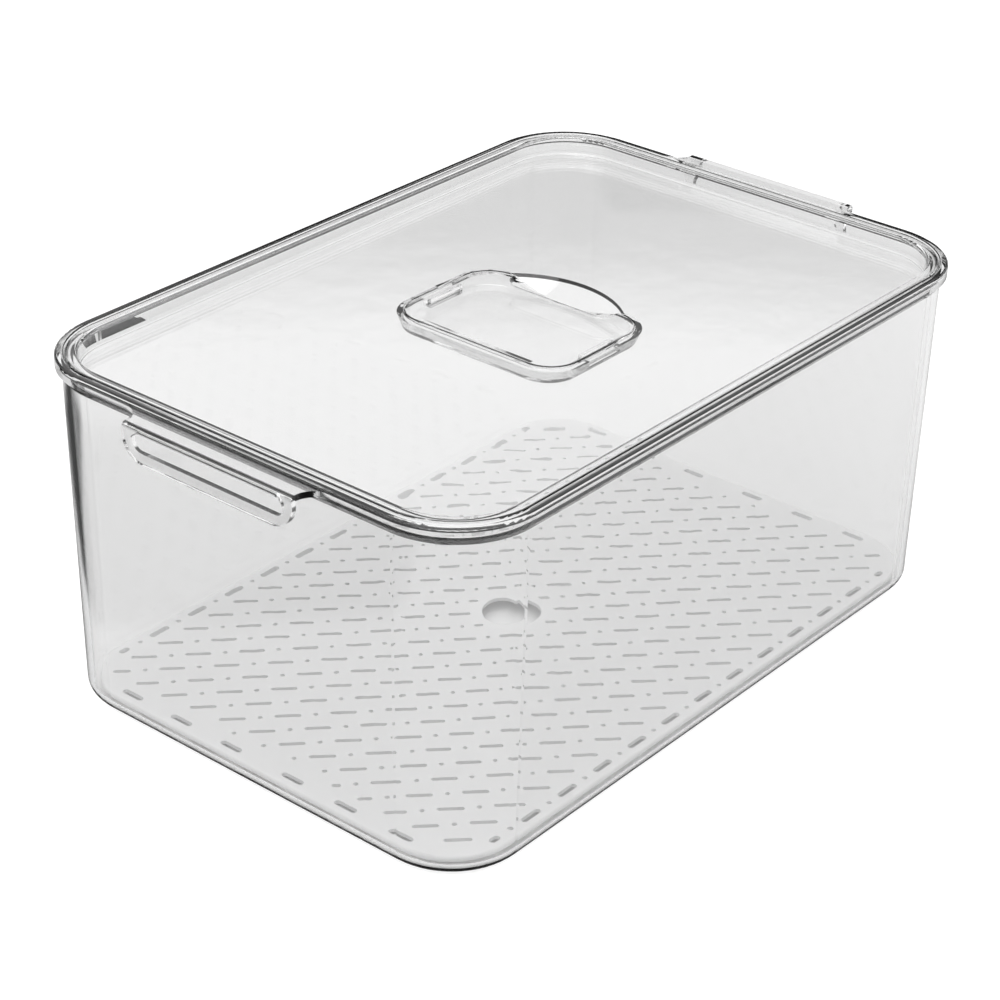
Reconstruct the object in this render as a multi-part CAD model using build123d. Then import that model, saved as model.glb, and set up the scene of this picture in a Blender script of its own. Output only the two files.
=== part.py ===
from build123d import *
import math
import os

# A lidded fridge bin: a clear tub with a pull handle at each end, a clear lid that drops into
# the tub's rim, a handle plate snapped into the lid, and a slotted drain tray on the floor.
# Millimetres.  +Z up, X along the bin, origin under its middle on the face it stands on.

# ---------------------------------------------------------------- driving dimensions
RIM_LENGTH = 306.0
RIM_WIDTH = 211.0
HEIGHT = 140.0
RIM_CORNER = 34.5
WALL = 2.4
FLOOR = 2.4

# Tub: every plan outline is the rim outline moved inwards by an inset.
WALL_INSET = 2.4            # the wall hangs this far inside the rim's edge
WALL_TAPER = 2.3            # and this much further in at the floor
BASE_ROUND = 5.5
RIM_BAND = 4.5              # height of the rim's upright edge
RIM_BLEND = 3.0             # height of the slope from the rim band to the wall
LIP = 3.1                   # width of the upstand around the lid
LIP_ROUND = 1.1
SEAT_DEPTH = 2.9            # the lid's seat below the top of the lip

# End handles, moulded in one with the tub
HANDLE_REACH = 10.0
HANDLE_HALF = 39.5          # half the handle's width
HANDLE_DROP = 14.9          # its lowest point below the top of the rim
HANDLE_TOP = 1.3            # its shelf below the top of the rim
HANDLE_WALL = 2.4
HANDLE_BAR = 4.0            # the bar around the finger window
HANDLE_CORNER = 9.0
HANDLE_BLEND = 8.0          # concave corner from the shelf into the rim
HANDLE_BEND = 2.0

# Lid
LID_GAP = 0.4
FLANGE_INSET = LIP + LID_GAP
FLANGE = 2.6
SEAT_GAP = 0.3
SKIRT_GAP = 1.0             # the lid's skirt hangs this clear of the tub's wall
SKIRT_INSET = WALL_INSET + WALL + SKIRT_GAP
RECESS_INSET = SKIRT_INSET + WALL
PANEL_DEPTH = 7.0           # top of the panel below the rim
PANEL = 2.2
LID_ROUND = 1.4             # rounding under the edge of the panel

# Grip pocket in the lid, with its finger scoop on the +X side
PLATE_X, PLATE_Y, PLATE_CORNER = 27.8, 39.6, 13.0      # half sizes of the handle plate
PLATE_GAP = 0.3
PLATE = 2.0
POCKET_DEPTH = 14.8         # underside of the pocket below the rim
POCKET_WALL = 1.6
SCOOP_X, SCOOP_RADIUS = -2.5, 41.4                     # the scoop's edge, an arc on the panel
SCOOP_FALL = 6.2                                       # its depth where it meets the plate
SCOOP_FALL_AT = 25.0
CUT_X, CUT_HALF, CUT_CORNER = 20.8, 24.5, 6.5          # the finger cut in the plate's edge
TAB_HALF = 9.0
TAB = 1.8
TAB_NUB = 0.9
ARCH_SAG = 2.8
ARCH_HALF = 28.0

# Drain tray
TRAY_LENGTH, TRAY_WIDTH, TRAY_CORNER = 288.0, 192.5, 26.0
TRAY_TOP = 6.0
TRAY_SHEET = 1.4
TRAY_EDGE = 1.6
TRAY_EDGE_INSET = 1.8       # the tray's skirt stands in from its edge, clear of the tub's rounding
TRAY_ROUND = 1.0
FLOOR_GAP = 0.3
SLOT_LENGTH, SLOT_WIDTH, DOT = 10.0, 1.9, 1.9
SLOT_PITCH_X, SLOT_PITCH_Y, ROW_SHIFT = 13.7, 13.75, -1.42
SLOT_ROWS = 13
FIELD_X, FIELD_Y, FIELD_HOLE = 132.4, 86.6, 14.8       # where the slanted slots may run
BORDER_Y, BORDER_PITCH, BORDER_COUNT, BORDER_SLOT = 91.5, 20.3, 11, 9.6
BORDER_END, BORDER_END_SLOT, BORDER_WIDTH = 120.0, 4.6, 2.6
SIDE_X, SIDE_SLOT = 139.0, 10.0
SIDE_Y = (15.3, 40.9, 66.5)
FINGER_RADIUS = 10.3
STUD_RADIUS = 2.0


# ---------------------------------------------------------------- shared helpers
def outline(inset, z):
    """The rim's plan outline moved inwards by inset, at height z."""
    shape = RectangleRounded(RIM_LENGTH - 2 * inset, RIM_WIDTH - 2 * inset, RIM_CORNER - inset)
    return Pos(0, 0, z) * shape


def block(inset, low, high):
    return extrude(outline(inset, low), high - low)


def tapered(inset_low, low, inset_high, high):
    return loft([outline(inset_low, low), outline(inset_high, high)])


def pad(half_x, half_y, corner, low, high):
    """An upright block with rounded corners, centred on the origin in plan."""
    return extrude(Pos(0, 0, low) * RectangleRounded(2 * half_x, 2 * half_y, corner), high - low)


def inset_of(point):
    """How far a point lies inside the rim's plan outline."""
    dx = abs(point.X) - RIM_LENGTH / 2 + RIM_CORNER
    dy = abs(point.Y) - RIM_WIDTH / 2 + RIM_CORNER
    outside = math.hypot(max(dx, 0), max(dy, 0)) + min(max(dx, dy), 0)
    return RIM_CORNER - outside


def ring_edges(part, inset, z):
    """The edges of one closed loop: at height z and at one inset all round."""
    level = part.edges().filter_by_position(Axis.Z, z - 0.02, z + 0.02)
    return [e for e in level if abs(inset_of(e @ 0.5) - inset) < 0.05 and abs(inset_of(e @ 0) - inset) < 0.05]


def save(node, shape):
    shape.label = node
    export_step(shape, os.path.join("parts", node + ".step"))
    print(node, "solids", len(shape.solids()), "volume %.0f mm3" % shape.volume, "valid", shape.is_valid)


# ---------------------------------------------------------------- tub
def end_handle():
    """The +X handle: a shelf out from the rim, then a plate down with a finger window."""
    root = RIM_LENGTH / 2
    tip = root + HANDLE_REACH
    top = HEIGHT - HANDLE_TOP
    low = HEIGHT - HANDLE_DROP
    shelf = Pos(root - 1 + (HANDLE_REACH + 1) / 2, 0) * Rectangle(HANDLE_REACH + 1, 2 * HANDLE_HALF)
    for side in (-1, 1):
        y = side * (HANDLE_HALF + HANDLE_BLEND / 2)
        corner = Pos(root - 1 + (HANDLE_BLEND + 1) / 2, y) * Rectangle(HANDLE_BLEND + 1, HANDLE_BLEND)
        centre = (root + HANDLE_BLEND, side * (HANDLE_HALF + HANDLE_BLEND))
        shelf += corner - Pos(*centre) * Circle(HANDLE_BLEND)
    shelf = extrude(Pos(0, 0, top - HANDLE_WALL) * shelf, HANDLE_WALL)
    face = Plane(origin=(tip, 0, 0), x_dir=(0, 1, 0), z_dir=(1, 0, 0))
    sheet = Pos(0, (top + low) / 2) * Rectangle(2 * HANDLE_HALF, top - low)
    lower = [v for v in sheet.vertices() if v.Y < (top + low) / 2]
    sheet = fillet(lower, HANDLE_CORNER)
    window_low = low + HANDLE_BAR
    window_high = top - HANDLE_WALL
    window = RectangleRounded(2 * (HANDLE_HALF - HANDLE_BAR), window_high - window_low, 3.5)
    sheet -= Pos(0, (window_low + window_high) / 2) * window
    plate = extrude(face * sheet, -HANDLE_WALL)
    handle = shelf + plate
    bend = handle.edges().filter_by(Axis.Y).filter_by_position(Axis.Z, top - 0.01, top + 0.01)
    bend = [e for e in bend if abs((e @ 0.5).X - tip) < 0.01]
    return fillet(bend, HANDLE_BEND)


def make_bin():
    floor_inset = WALL_INSET + WALL_TAPER
    band_low = HEIGHT - RIM_BAND
    neck = band_low - RIM_BLEND
    body = tapered(floor_inset, 0, WALL_INSET, neck)
    body = fillet(ring_edges(body, floor_inset, 0), BASE_ROUND)
    rim = tapered(WALL_INSET, neck, 0, band_low) + block(0, band_low, HEIGHT)
    rim = fillet(ring_edges(rim, 0, HEIGHT), LIP_ROUND)
    hollow = tapered(floor_inset + WALL, FLOOR, WALL_INSET + WALL, HEIGHT + 1)
    hollow = fillet(ring_edges(hollow, floor_inset + WALL, FLOOR), BASE_ROUND - WALL)
    seat = block(LIP, HEIGHT - SEAT_DEPTH, HEIGHT + 1)
    tub = body + rim - hollow - seat
    tub = fillet(ring_edges(tub, LIP, HEIGHT), 0.7)
    handle = end_handle() - hollow
    return tub + handle + mirror(handle, Plane.YZ)


# ---------------------------------------------------------------- lid
def scoop_ball():
    """The ball whose surface is the scoop: it cuts the panel's top face in the scoop's edge."""
    lift = (SCOOP_RADIUS ** 2 - SCOOP_FALL_AT ** 2 - SCOOP_FALL ** 2) / (2 * SCOOP_FALL)
    radius = math.hypot(lift, SCOOP_RADIUS)
    return Pos(SCOOP_X, 0, HEIGHT - PANEL_DEPTH + lift) * Sphere(radius)


def grip_pocket(panel_top, ledge):
    """What the pocket adds to the lid, and the space it takes out of it."""
    low = HEIGHT - POCKET_DEPTH
    floor = low + POCKET_WALL
    top = Pos(0, 0, ledge) * RectangleRounded(2 * PLATE_X + 5, 2 * PLATE_Y + 5, PLATE_CORNER + 2)
    foot = Pos(0, 0, low) * RectangleRounded(2 * PLATE_X + 1.4, 2 * PLATE_Y - 0.8, PLATE_CORNER - 0.8)
    shell = loft([foot, top])
    shell = fillet(shell.faces().sort_by(Axis.Z)[0].edges(), 1.2)
    under = Pos(0, 0, -PANEL) * scoop_ball()
    shell += under & (Pos(40, 0, (panel_top + low) / 2) * Box(40, 90, panel_top - low))
    reach = 60.0
    high = panel_top + 1
    inner = scoop_ball() & (Pos(reach / 2, 0, (floor + high) / 2) * Box(reach, 90, high - floor))
    space = pad(PLATE_X - 1.4, PLATE_Y - 2.2, PLATE_CORNER - 1.6, floor, panel_top + 1)
    space += inner
    space += pad(PLATE_X + PLATE_GAP, PLATE_Y + PLATE_GAP, PLATE_CORNER + PLATE_GAP, ledge, panel_top + 1)
    for side in (-1, 1):
        window = Box(2 * (TAB_HALF + PLATE_GAP), 6, TAB_NUB + 1.1)
        space += Pos(0, side * (PLATE_Y - 1.5), floor + 1.1) * window
    return shell, space


def make_lid():
    panel_top = HEIGHT - PANEL_DEPTH
    panel_low = panel_top - PANEL
    under = HEIGHT - FLANGE
    web = block(SKIRT_INSET, panel_low, under)
    web = fillet(ring_edges(web, SKIRT_INSET, panel_low), LID_ROUND)
    lid = block(FLANGE_INSET, under, HEIGHT) + web
    recess = block(RECESS_INSET, panel_top, HEIGHT + 1)
    recess = fillet(ring_edges(recess, RECESS_INSET, panel_top), 0.9)
    lid -= recess
    lid = fillet(ring_edges(lid, FLANGE_INSET, HEIGHT), 1.0)
    lid = fillet(ring_edges(lid, RECESS_INSET, HEIGHT), 1.2)
    shell, space = grip_pocket(panel_top, panel_top - PLATE)
    return lid + shell - space


def make_handle_plate():
    """The plate that bridges the pocket, with a finger cut, an arched rib and two snap tabs."""
    top = HEIGHT - PANEL_DEPTH
    low = top - PLATE
    floor = HEIGHT - POCKET_DEPTH + POCKET_WALL
    shape = RectangleRounded(2 * PLATE_X, 2 * PLATE_Y, PLATE_CORNER)
    cut = Pos(CUT_X + 20, 0) * RectangleRounded(40, 2 * CUT_HALF, CUT_CORNER)
    shape -= cut
    plate = extrude(Pos(0, 0, low + 0.05) * shape, PLATE)
    edges = plate.faces().sort_by(Axis.Z)[-1].edges()
    plate = fillet(edges, 0.8)
    arch = Plane(origin=(-PLATE_X + 2.2, 0, 0), x_dir=(0, 1, 0), z_dir=(1, 0, 0))
    ends = [(-ARCH_HALF, low + 0.4), (ARCH_HALF, low + 0.4)]
    curve = ThreePointArc(ends[0], (0, low - ARCH_SAG), ends[1])
    plate += extrude(arch * make_face(curve + Line(ends[1], ends[0])), 1.6)
    for side in (-1, 1):
        y = side * (PLATE_Y - 2.2 - PLATE_GAP - TAB / 2)
        tab_low = floor + 0.6
        plate += Pos(0, y, (low + 0.4 + tab_low) / 2) * Box(2 * TAB_HALF, TAB, low + 0.4 - tab_low)
        nub = Pos(0, y + side * (TAB / 2 + TAB_NUB / 2), floor + 1.1) * Box(2 * TAB_HALF, TAB_NUB, TAB_NUB)
        plate += nub
    return plate


# ---------------------------------------------------------------- drain tray
def slot(x, y, length, angle, width=SLOT_WIDTH):
    """One rounded slot, or a dot where little of the slot is left."""
    if length > width + 0.5:
        shape = SlotOverall(length, width)
    else:
        shape = Circle(DOT / 2)
    return (Pos(x, y) * Rot(0, 0, angle) * shape).face().outer_wire()


def in_field(x, y):
    return abs(x) < FIELD_X and abs(y) < FIELD_Y and math.hypot(x, y) > FIELD_HOLE


def slanted_slot(x, y):
    """The part of a slanted slot that lies inside the field, as a slot or a dot, or nothing."""
    reach = (SLOT_LENGTH - SLOT_WIDTH) / 2
    run = [t / 10 for t in range(int(-10 * reach), int(10 * reach) + 1)]
    run = [t for t in run if in_field(x + t * math.sqrt(0.5), y - t * math.sqrt(0.5))]
    if not run:
        return None
    middle = (run[0] + run[-1]) / 2 * math.sqrt(0.5)
    return slot(x + middle, y - middle, run[-1] - run[0] + SLOT_WIDTH, -45)


def field_holes():
    """Slanted slots in sheared rows, with a dot in the middle of every four."""
    holes = []
    columns = int(FIELD_X / SLOT_PITCH_X) + 2
    for row in range(SLOT_ROWS):
        level = row - (SLOT_ROWS - 1) / 2
        for column in range(-columns, columns + 1):
            x = column * SLOT_PITCH_X + level * ROW_SHIFT
            y = level * SLOT_PITCH_Y
            holes.append(slanted_slot(x, y))
            x += (SLOT_PITCH_X + ROW_SHIFT) / 2
            y += SLOT_PITCH_Y / 2
            if row < SLOT_ROWS - 1 and in_field(x, y):
                holes.append(slot(x, y, DOT, 0))
    return [hole for hole in holes if hole]


def border_holes():
    """Slots and dots in turn along both long sides, and slots alone along both ends."""
    holes = []
    middle = (BORDER_COUNT - 1) / 2
    for side in (-1, 1):
        y = side * BORDER_Y
        for i in range(BORDER_COUNT):
            holes.append(slot((i - middle) * BORDER_PITCH, y, BORDER_SLOT, 0, BORDER_WIDTH))
        for i in range(BORDER_COUNT + 1):
            holes.append(slot((i - middle - 0.5) * BORDER_PITCH, y, DOT, 0))
        for end in (-1, 1):
            holes.append(slot(end * BORDER_END, y, BORDER_END_SLOT, 0, BORDER_WIDTH))
            holes += [slot(side * SIDE_X, end * level, SIDE_SLOT, 90, BORDER_WIDTH) for level in SIDE_Y]
    return holes


def finger_hole():
    """The round hole in the middle that a finger lifts the tray by."""
    return Circle(FINGER_RADIUS).face().outer_wire()


def make_tray():
    low = FLOOR + FLOOR_GAP
    sheet_low = TRAY_TOP - TRAY_SHEET
    shape = RectangleRounded(TRAY_LENGTH, TRAY_WIDTH, TRAY_CORNER)
    skirt = offset(shape, -TRAY_EDGE_INSET) - offset(shape, -TRAY_EDGE_INSET - TRAY_EDGE)
    holes = field_holes() + border_holes() + [finger_hole()]
    sheet = Face(shape.face().outer_wire(), holes)
    tray = extrude(Pos(0, 0, sheet_low) * sheet, TRAY_SHEET, dir=(0, 0, 1))
    tray = fillet(tray.faces().sort_by(Axis.Z)[-1].outer_wire().edges(), TRAY_ROUND)
    tray += extrude(Pos(0, 0, low) * skirt, sheet_low - low)
    for column in (-8, -4, 4, 8):
        for row in (-4, 0, 4):
            x = (column + 0.5) * SLOT_PITCH_X + row * ROW_SHIFT
            stud = Cylinder(STUD_RADIUS, sheet_low - low, align=(Align.CENTER, Align.CENTER, Align.MIN))
            tray += Pos(x, row * SLOT_PITCH_Y, low) * stud
    print("tray holes", len(holes))
    return tray


# ---------------------------------------------------------------- write the parts
os.makedirs("parts", exist_ok=True)
save("bin", make_bin())
save("lid", make_lid())
save("lid_handle_plate", make_handle_plate())
save("drain_tray", make_tray())
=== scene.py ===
import bpy
import math
from mathutils import Matrix, Vector

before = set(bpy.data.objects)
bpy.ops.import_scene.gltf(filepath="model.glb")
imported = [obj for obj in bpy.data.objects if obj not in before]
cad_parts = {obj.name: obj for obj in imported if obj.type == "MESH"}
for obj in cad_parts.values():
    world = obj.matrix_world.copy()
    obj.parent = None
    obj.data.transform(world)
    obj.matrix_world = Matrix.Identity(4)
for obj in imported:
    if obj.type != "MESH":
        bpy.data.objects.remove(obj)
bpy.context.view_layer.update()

scene = bpy.context.scene

# ---------------------------------------------------------------- camera
CAMERA_PLACE = (-0.71017, -0.57511, 0.56387)
CAMERA_TURN, CAMERA_RISE, CAMERA_ROLL = -50.65, 29.10, 1.21     # degrees
CAMERA_LENS, CAMERA_SENSOR = 97.9, 36                           # millimetres
CAMERA_CLIP = (0.05, 50)
VIEW = (0.773, 0.634, 0)            # the level direction that the camera looks in
VIEW_BACK = (-0.773, -0.634, 0)
VIEW_LEFT = (-0.727, 0.697, 0)      # about at right angles to it
VIEW_RIGHT = (0.727, -0.697, 0)

# ---------------------------------------------------------------- plastics
IOR = 1.52
CLEAR = {                           # greys of the clear plastic: seen face on, its own faint smoke, and nearly edge on, partly the longer path through the plastic and partly painted shade
    "tub_clear": (0.96, 0.006),
    "lid_clear": (0.96, 0.45),
    "plate_clear": (0.98, 0.8),
}
FACE_STOPS = [(0.0, 1.0), (0.64, 1.0), (0.72, 0.5), (0.80, 0.3)]        # shares of the first grey, which the painted edge shade already dims,
EDGE_SHADE_STOPS = [(0.84, 1.0), (1.0, 0.4)]                                  # then of the second one, the painted edge shade
FACING_SHARE = 0.82                 # how far along these stops an edge-on view takes it
UNDER_SHADE_TURN = (-0.25, -0.6)          # and as a face turns downwards from the first to the second
UNDER_SHADE_SHARE = 0.36                  # it goes this much further, as painted shade on faces that look down
WAVE_SCALE, WAVE_DETAIL, WAVE_STRENGTH, WAVE_DEPTH = 55.0, 2.0, 0.03, 0.001
SMUDGE_SCALE, SMUDGE_DETAIL = 14.0, 8.0
SMUDGE_LEVELS, SMUDGE_ROUGHNESS = (0.56, 0.75), 0.05
WHITE = 0.92
WHITE_ROUGHNESS = 0.6
WHITE_THROUGH, WHITE_THROUGH_SHARE = 0.93, 0.4
GRAIN_SCALE, GRAIN_DETAIL, GRAIN_STRENGTH, GRAIN_DEPTH = 2500.0, 3.0, 0.15, 0.0002

# ---------------------------------------------------------------- floor and studio
FLOOR_HALF, FLOOR_DROP = 8.0, 0.0005
FLOOR_GLOW = 0.12                   # keeps the floor white to the camera
LIGHT_POOL_CENTRE = (1.16, 0.95, 0)       # painted pool of light on the floor, seen only by the plastic: bright behind the bin
LIGHT_POOL_REACH = 4.0
LIGHT_POOL_STOPS = [(0.0, 0.93), (0.65, 0.93), (0.82, 0.25), (1.0, 0.05)]     # the painted pool's brightness from its middle outwards, painted shade further off
FLOOR_THROUGH = 0.84                # painted shade: the floor's brightness through the plastic, against its own white
MIRROR = (0.14, 0.7)                # and painted shade in its reflections, nearer than the bin's middle and past it,
MIRROR_TURN = (0.02, 0.16)          # which change over between these distances along the view
SHADE_PATCH = 0.05                         # a painted dark patch on the floor to the left, seen only in the plastic, as painted shade:
SHADE_PATCH_SIDES = [                      # the direction and the soft edge of each of its sides
    (VIEW_LEFT, (0.203, 0.23)),
    (VIEW_RIGHT, (-0.4, -0.36)),
    (VIEW_BACK, (-0.19, -0.15)),
]
SKY_STOPS = [                       # from the horizon to overhead
    (0.0, 0.02), (0.2, 0.03), (0.33, 0.08), (0.4, 0.12),
    (0.435, 1.05), (0.6, 1.15), (1.0, 1.15),
]
BACKDROP_STOPS = [(0.0, 0.0), (0.08, 0.0), (0.3, 0.85), (1.0, 0.85)]    # from the side to behind,
BACKDROP_TOP = [(0.0, 1.0), (0.18, 1.0), (0.28, 0.0), (1.0, 0.0)]       # and upwards
LAMP_PLACE, LAMP_SIZE, LAMP_POWER = (0, 0.3, 2.2), (1.6, 1.2), 14


# ---------------------------------------------------------------- node helpers
def material(name):
    made = bpy.data.materials.new(name)
    made.use_nodes = True
    tree = made.node_tree
    return made, tree, tree.nodes["Principled BSDF"], tree.nodes["Material Output"]


def node(tree, kind, **values):
    """A node with its own settings, and with the values of the inputs that in_ names."""
    made = tree.nodes.new(kind)
    for key, value in values.items():
        if key.startswith("in_"):
            made.inputs[key[3:].replace("_", " ")].default_value = value
        else:
            setattr(made, key, value)
    return made


def grey(level):
    return (level, level, level, 1)


def ramp(tree, value, stops):
    """A colour ramp in greys, whose stops are (position, level)."""
    made = tree.nodes.new("ShaderNodeValToRGB")
    bands = made.color_ramp.elements
    while len(bands) < len(stops):
        bands.new(0.5)
    for band, (position, level) in zip(bands, stops):
        band.position = position
        band.color = grey(level)
    tree.links.new(value, made.inputs["Fac"])
    return made.outputs["Color"]


def remap(tree, value, source, target=(0, 1), kind="LINEAR"):
    """The value taken from one range to another, and held at its ends."""
    made = node(tree, "ShaderNodeMapRange", interpolation_type=kind)
    made.inputs["From Min"].default_value, made.inputs["From Max"].default_value = source
    made.inputs["To Min"].default_value, made.inputs["To Max"].default_value = target
    tree.links.new(value, made.inputs["Value"])
    return made.outputs[0]


def calculate(tree, operation, first, second):
    """One step of arithmetic, where each side is an output or a number."""
    made = node(tree, "ShaderNodeMath", operation=operation)
    for place, side in enumerate((first, second)):
        if isinstance(side, (int, float)):
            made.inputs[place].default_value = side
        else:
            tree.links.new(side, made.inputs[place])
    return made.outputs[0]


def along(tree, vector, direction):
    """How far a place lies in a direction, or how much a direction leans that way."""
    made = node(tree, "ShaderNodeVectorMath", operation="DOT_PRODUCT")
    made.inputs[1].default_value = direction
    tree.links.new(vector, made.inputs[0])
    return made.outputs["Value"]


def distance(tree, vector, centre):
    made = node(tree, "ShaderNodeVectorMath", operation="DISTANCE")
    made.inputs[1].default_value = centre
    tree.links.new(vector, made.inputs[0])
    return made.outputs["Value"]


def choose(tree, share, first, second):
    """Between two values or numbers, by share."""
    made = node(tree, "ShaderNodeMix", data_type="FLOAT")
    tree.links.new(share, made.inputs["Factor"])
    for socket, side in (("A", first), ("B", second)):
        if isinstance(side, (int, float)):
            made.inputs[socket].default_value = side
        else:
            tree.links.new(side, made.inputs[socket])
    return made.outputs[0]


def combine(tree, operation, first, second):
    """Two colours, part by part, where a plain value counts as a grey."""
    made = node(tree, "ShaderNodeVectorMath", operation=operation)
    tree.links.new(first, made.inputs[0])
    tree.links.new(second, made.inputs[1])
    return made.outputs[0]


def noise_bump(tree, place, scale, detail, strength, depth):
    """A surface that noise makes slightly uneven."""
    noise = node(tree, "ShaderNodeTexNoise", in_Scale=scale, in_Detail=detail)
    bump = node(tree, "ShaderNodeBump", in_Strength=strength, in_Distance=depth)
    tree.links.new(place, noise.inputs["Vector"])
    tree.links.new(noise.outputs["Fac"], bump.inputs["Height"])
    return bump.outputs["Normal"]


def blend(tree, share, first, second, output):
    """The surface: two shaders mixed by share, which is an output or a number."""
    mix = node(tree, "ShaderNodeMixShader")
    if isinstance(share, (int, float)):
        mix.inputs[0].default_value = share
    else:
        tree.links.new(share, mix.inputs[0])
    tree.links.new(first.outputs[0], mix.inputs[1])
    tree.links.new(second.outputs[0], mix.inputs[2])
    tree.links.new(mix.outputs[0], output.inputs["Surface"])


# ---------------------------------------------------------------- materials
def edge_and_under_painted_shade(tree, tint, edge):
    """The plastic's grey: darker where it is seen edge on, partly from the longer path through it and
    partly as painted shade, and painted shade on faces that look down.
    """
    facing = node(tree, "ShaderNodeLayerWeight", in_Blend=0.5)
    surface = node(tree, "ShaderNodeNewGeometry")
    parts = node(tree, "ShaderNodeSeparateXYZ")
    tree.links.new(surface.outputs["Normal"], parts.inputs[0])
    # painted shade: faces that look down get darker
    under_painted_shade = remap(tree, parts.outputs["Z"], UNDER_SHADE_TURN, (0, UNDER_SHADE_SHARE))
    weight = calculate(tree, "MULTIPLY", facing.outputs["Facing"], FACING_SHARE)
    stops = [(position, share * tint) for position, share in FACE_STOPS]
    stops += [(position, share * edge) for position, share in EDGE_SHADE_STOPS]
    return ramp(tree, calculate(tree, "ADD", weight, under_painted_shade), stops)


def clear_plastic(name):
    """Clear, faintly smoky moulded plastic, smooth and very slightly wavy, with faint smudges.

    Lamps shine through it."""
    tint, edge = CLEAR[name]
    made, tree, shader, output = material(name)
    # the base colour carries painted shade on edge-on and downward-facing faces
    tree.links.new(edge_and_under_painted_shade(tree, tint, edge), shader.inputs["Base Color"])
    shader.inputs["Transmission Weight"].default_value = 1
    shader.inputs["IOR"].default_value = IOR
    place = node(tree, "ShaderNodeTexCoord").outputs["Object"]
    smudge = node(tree, "ShaderNodeTexNoise", in_Scale=SMUDGE_SCALE, in_Detail=SMUDGE_DETAIL)
    tree.links.new(place, smudge.inputs["Vector"])
    haze = remap(tree, smudge.outputs["Fac"], SMUDGE_LEVELS, (0, SMUDGE_ROUGHNESS))
    tree.links.new(haze, shader.inputs["Roughness"])
    wave = noise_bump(tree, place, WAVE_SCALE, WAVE_DETAIL, WAVE_STRENGTH, WAVE_DEPTH)
    tree.links.new(wave, shader.inputs["Normal"])
    path = node(tree, "ShaderNodeLightPath")
    light = calculate(tree, "MAXIMUM", path.outputs["Is Shadow Ray"], path.outputs["Is Diffuse Ray"])
    through = node(tree, "ShaderNodeBsdfTransparent", in_Color=grey(tint))
    blend(tree, light, shader, through, output)
    return made


def white_plastic():
    """Matte white moulded plastic with a fine spark-eroded grain, which lets some light through."""
    made, tree, shader, output = material("tray_white")
    shader.inputs["Base Color"].default_value = grey(WHITE)
    shader.inputs["Roughness"].default_value = WHITE_ROUGHNESS
    place = node(tree, "ShaderNodeTexCoord").outputs["Object"]
    grain = noise_bump(tree, place, GRAIN_SCALE, GRAIN_DETAIL, GRAIN_STRENGTH, GRAIN_DEPTH)
    through = node(tree, "ShaderNodeBsdfTranslucent", in_Color=grey(WHITE_THROUGH))
    tree.links.new(grain, shader.inputs["Normal"])
    tree.links.new(grain, through.inputs["Normal"])
    blend(tree, WHITE_THROUGH_SHARE, shader, through, output)
    return made


def dress():
    """Every CAD piece keeps its shape and gets its material."""
    looks = {
        "bin": clear_plastic("tub_clear"),
        "lid": clear_plastic("lid_clear"),
        "lid_handle_plate": clear_plastic("plate_clear"),
        "drain_tray": white_plastic(),
    }
    for name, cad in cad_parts.items():
        for slot in cad.material_slots:
            slot.material = looks[name]


# ---------------------------------------------------------------- camera, floor and studio
def make_camera():
    """The camera stands off the -X, -Y corner, about 29 degrees above the horizon."""
    turn, rise, roll = (math.radians(angle) for angle in (CAMERA_TURN, CAMERA_RISE, CAMERA_ROLL))
    back = Vector((math.sin(turn) * math.cos(rise), -math.cos(turn) * math.cos(rise), math.sin(rise)))
    across = Vector((math.cos(turn), math.sin(turn), 0))
    up = back.cross(across)
    right = across * math.cos(roll) + up * math.sin(roll)
    above = up * math.cos(roll) - across * math.sin(roll)
    data = bpy.data.cameras.new("camera")
    data.sensor_width = CAMERA_SENSOR
    data.lens = CAMERA_LENS
    data.clip_start, data.clip_end = CAMERA_CLIP
    camera = bpy.data.objects.new("camera", data)
    scene.collection.objects.link(camera)
    turned = Matrix((right, above, back)).transposed().to_4x4()
    camera.matrix_world = Matrix.Translation(CAMERA_PLACE) @ turned
    scene.camera = camera


def floor_seen(tree, place, path):
    """Painted shade on the floor as the plastic sees it: how bright the floor looks through the
    plastic and mirrored in it, against its own white.
    """
    # painted shade: a dark patch on the floor to the left, which only the plastic sees
    shade_patch = 1.0
    for direction, edge in SHADE_PATCH_SIDES:
        side = remap(tree, along(tree, place, direction), edge, kind="SMOOTHSTEP")
        shade_patch = calculate(tree, "MULTIPLY", shade_patch, side)
    # painted shade in the floor's reflections, changing along the view
    mirror = remap(tree, along(tree, place, VIEW), MIRROR_TURN, MIRROR)
    plain = choose(tree, path.outputs["Is Reflection Ray"], FLOOR_THROUGH, mirror)
    return choose(tree, shade_patch, plain, SHADE_PATCH)


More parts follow.
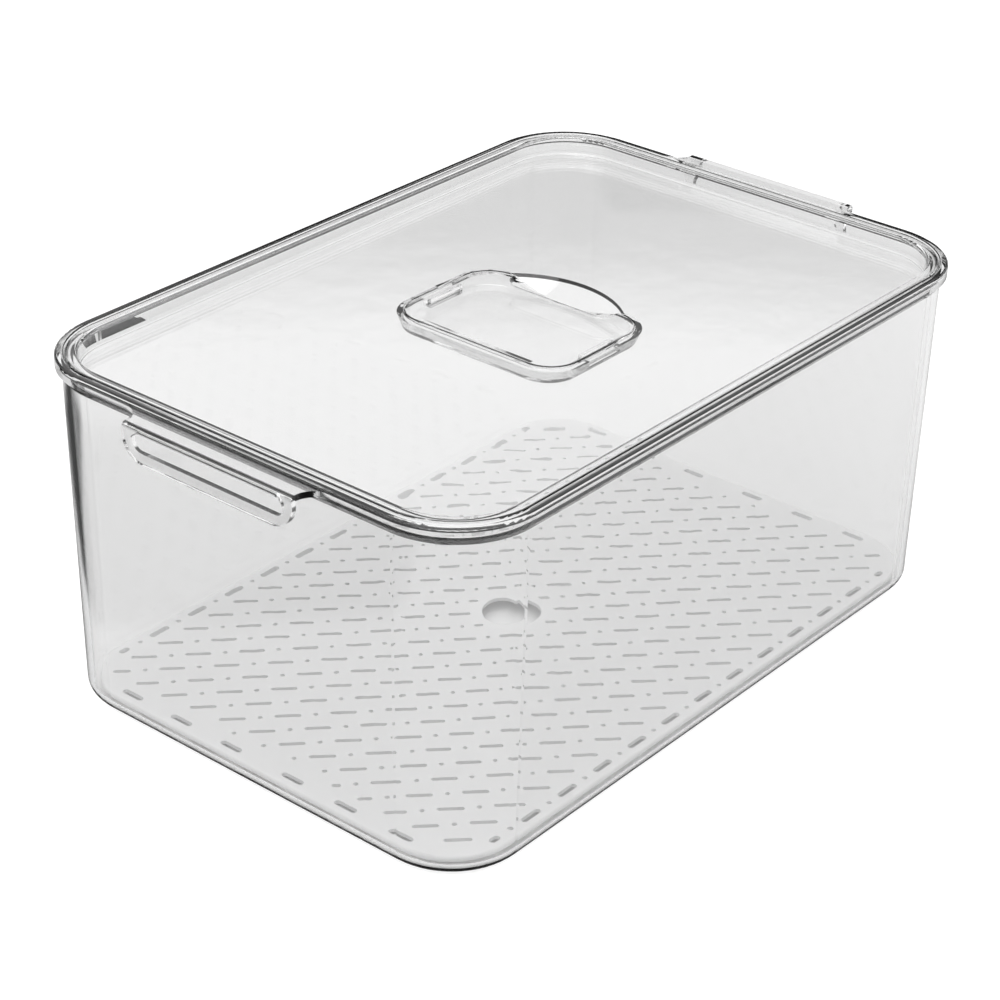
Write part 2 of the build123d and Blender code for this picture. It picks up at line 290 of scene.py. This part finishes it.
def make_floor():
    """A sheet that is white to the camera; to the plastic it is a painted pool of light behind the
    bin, with painted shade well away from it.
    """
    mesh = bpy.data.meshes.new("floor")
    turns = ((-1, -1), (1, -1), (1, 1), (-1, 1))
    corners = [(x * FLOOR_HALF, y * FLOOR_HALF, -FLOOR_DROP) for x, y in turns]
    mesh.from_pydata(corners, [], [(0, 1, 2, 3)])
    floor = bpy.data.objects.new("floor", mesh)
    scene.collection.objects.link(floor)
    look, tree, shader, output = material("floor_white")
    place = node(tree, "ShaderNodeTexCoord").outputs["Object"]
    path = node(tree, "ShaderNodeLightPath")
    # painted light and shade: a pool of light painted on the floor for the plastic only
    reach = calculate(tree, "DIVIDE", distance(tree, place, LIGHT_POOL_CENTRE), LIGHT_POOL_REACH)
    unseen = calculate(tree, "SUBTRACT", 1.0, path.outputs["Is Camera Ray"])
    shade = ramp(tree, calculate(tree, "MULTIPLY", reach, unseen), LIGHT_POOL_STOPS)
    plain = calculate(tree, "MAXIMUM", path.outputs["Is Camera Ray"], path.outputs["Is Diffuse Ray"])
    level = choose(tree, plain, floor_seen(tree, place, path), 1.0)
    dim = node(tree, "ShaderNodeVectorMath", operation="SCALE")
    tree.links.new(shade, dim.inputs[0])
    tree.links.new(level, dim.inputs["Scale"])
    tree.links.new(dim.outputs[0], shader.inputs["Base Color"])
    shader.inputs["Roughness"].default_value = 1
    shader.inputs["Specular IOR Level"].default_value = 0
    shader.inputs["Emission Color"].default_value = grey(1)
    glow = calculate(tree, "MULTIPLY", path.outputs["Is Camera Ray"], FLOOR_GLOW)
    tree.links.new(glow, shader.inputs["Emission Strength"])
    floor.data.materials.append(look)


def make_world():
    """A studio that is dark low down and bright overhead, with a low white backdrop behind the bin.

    The camera itself sees white all round."""
    world = bpy.data.worlds.new("studio")
    world.use_nodes = True
    tree = world.node_tree
    place = node(tree, "ShaderNodeTexCoord").outputs["Generated"]
    parts = node(tree, "ShaderNodeSeparateXYZ")
    tree.links.new(place, parts.inputs[0])
    sky = ramp(tree, parts.outputs["Z"], SKY_STOPS)
    across = ramp(tree, along(tree, place, VIEW), BACKDROP_STOPS)
    upwards = ramp(tree, parts.outputs["Z"], BACKDROP_TOP)
    backdrop = combine(tree, "MULTIPLY", across, upwards)
    around = combine(tree, "MAXIMUM", sky, backdrop)
    path = node(tree, "ShaderNodeLightPath")
    seen = combine(tree, "MAXIMUM", around, path.outputs["Is Camera Ray"])
    tree.links.new(seen, tree.nodes["Background"].inputs["Color"])
    scene.world = world


def make_lamp():
    """One large soft lamp overhead, which aims at the bin."""
    data = bpy.data.lights.new("top_light", "AREA")
    data.shape = "RECTANGLE"
    data.size, data.size_y = LAMP_SIZE
    data.energy = LAMP_POWER
    lamp = bpy.data.objects.new("top_light", data)
    scene.collection.objects.link(lamp)
    lamp.location = LAMP_PLACE
    lamp.rotation_euler = (-Vector(LAMP_PLACE)).to_track_quat("-Z", "Y").to_euler()


def set_look():
    """Plain contrast, and enough bounces for light to pass through many clear walls."""
    scene.view_settings.view_transform = "Standard"
    scene.cycles.max_bounces = 24
    scene.cycles.transmission_bounces = 20
    scene.cycles.glossy_bounces = 8
    scene.cycles.transparent_max_bounces = 32
    scene.cycles.caustics_refractive = False
    scene.cycles.caustics_reflective = False


make_camera()
set_look()
dress()
make_floor()
make_world()
make_lamp()
